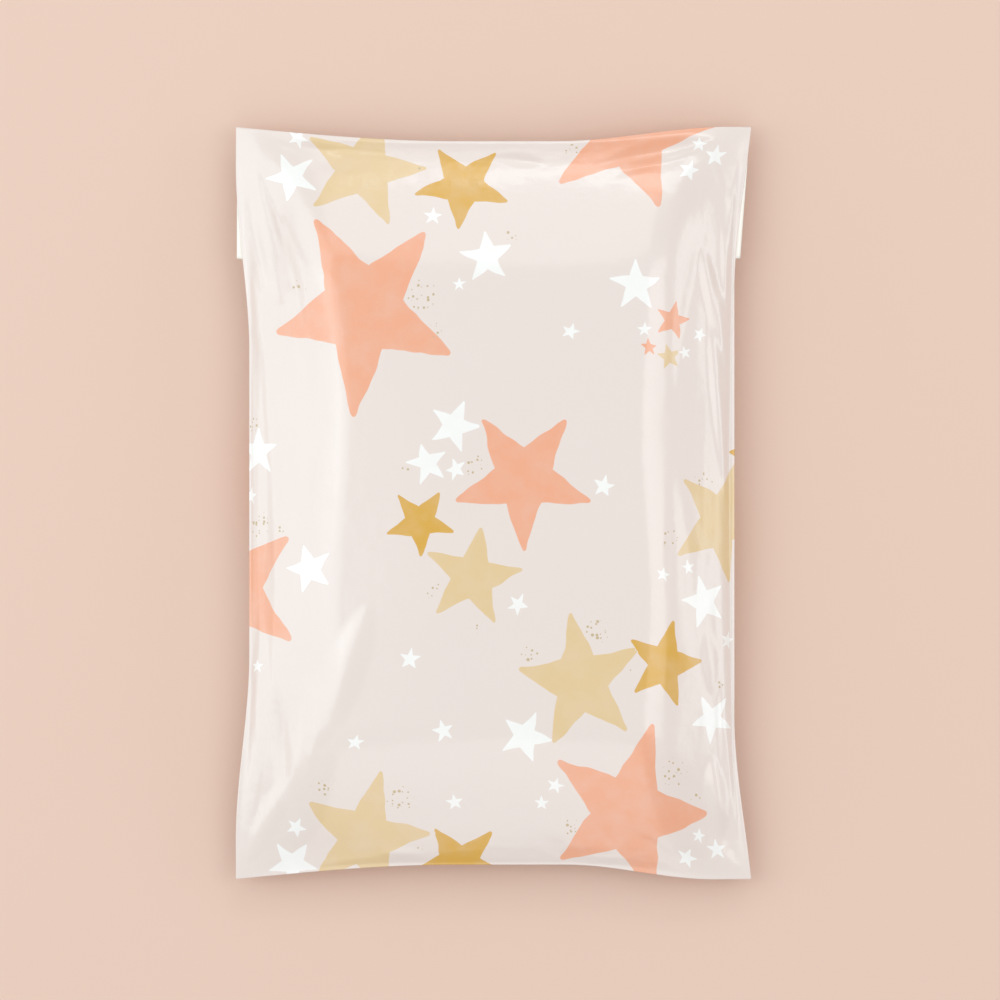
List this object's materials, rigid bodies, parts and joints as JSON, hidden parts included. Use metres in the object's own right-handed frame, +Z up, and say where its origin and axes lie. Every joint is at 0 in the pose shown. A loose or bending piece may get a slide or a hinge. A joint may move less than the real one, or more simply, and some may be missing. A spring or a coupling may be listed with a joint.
{
  "type": "poly mailer bag",
  "caption": "Small stuffed poly mailer bag, lying face up, with welded sides, pulled-in edges, soft folds and its flap glued down on the back.",
  "frame": {"origin": "on the surface that the bag lies on, under the middle of its outline", "axes": "+X across the bag, +Y along it from the bottom fold to the top fold where the flap turns over, +Z up out of the printed face"},
  "size_m": [0.1524, 0.2224, 0.026],
  "materials": {
    "blush_film": "thin polyethylene film, pale blush with a soft shine, printed on its face with stars in coral, gold, pale gold and white"
  },
  "bodies": {
    "root": {"mailer_bag": "blush_film"}
  },
  "joints": []
}
